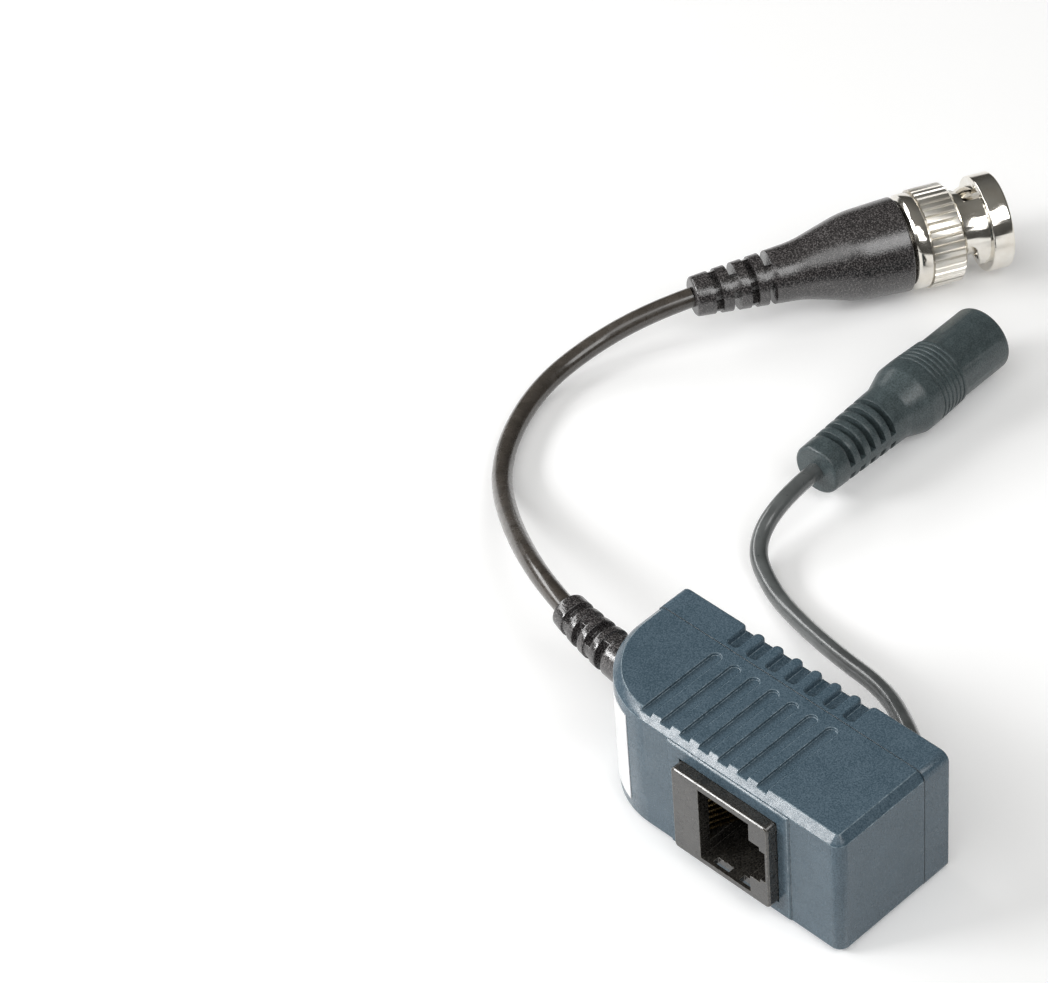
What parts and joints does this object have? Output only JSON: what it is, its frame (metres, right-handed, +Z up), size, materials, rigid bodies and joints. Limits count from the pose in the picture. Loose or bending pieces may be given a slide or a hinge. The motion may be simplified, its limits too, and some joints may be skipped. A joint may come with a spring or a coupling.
{
  "type": "cctv video balun",
  "caption": "Passive video and power balun: ribbed housing with a network socket, a short coaxial pigtail with a bayonet plug and a thin power lead with a round socket",
  "frame": {"origin": "centre of the housing's footprint, socket bezel included, on the surface that it lies on", "axes": "+X along the housing away from the coaxial pigtail, -Y out of the network socket, +Z up"},
  "size_m": [0.1024, 0.1193, 0.0206],
  "materials": {
    "housing": "moulded, satin",
    "label": "white film, bare",
    "jack": "moulded, semi-gloss",
    "contact": "gold flash on phosphor bronze",
    "board": "green solder mask on glass fibre",
    "ferrite": "sintered, matte",
    "enamelled_wire": "enamelled copper",
    "component": "moulded, matte",
    "capacitor": "dipped resin",
    "copper": "bare, drawn",
    "red_core": "extruded",
    "black_core": "extruded",
    "cable_black": "soft PVC, satin",
    "nickel": "bright nickel plate",
    "spring_steel": "plain",
    "insulator": "moulded, white",
    "gasket": "matte",
    "gold": "gold flash",
    "cable_grey": "soft PVC, satin"
  },
  "bodies": {
    "balun": {"front_shell": "housing", "rear_cover": "housing", "label": "label", "socket_housing": "jack", "socket_contacts": "contact", "circuit_board": "board", "balun_core": "ferrite", "balun_windings": "enamelled_wire", "surge_suppressors": "component", "capacitors": "capacitor", "coax_core": "insulator", "coax_braid_tail": "copper", "power_core_red": "red_core", "power_core_black": "black_core", "coax_gland": "cable_black", "coax_cable": "cable_black", "plug_boot": "cable_black", "plug_hub": "nickel", "plug_outer_contact": "nickel", "plug_insulator": "insulator", "plug_centre_pin": "gold", "plug_gasket": "gasket", "plug_spring_washer": "spring_steel", "power_lead": "cable_grey", "power_body": "cable_grey", "power_insert": "jack", "power_centre_pin": "nickel", "power_side_spring": "nickel"},
    "coupling": {"plug_coupling": "nickel"}
  },
  "joints": [
    {"name": "coupling_turn", "type": "hinge", "parent": "balun", "child": "coupling", "pos_m": [-0.05412, 0.09767, 0.00725], "axis": [0.4571, 0.8894, 0], "continuous": true}
  ]
}
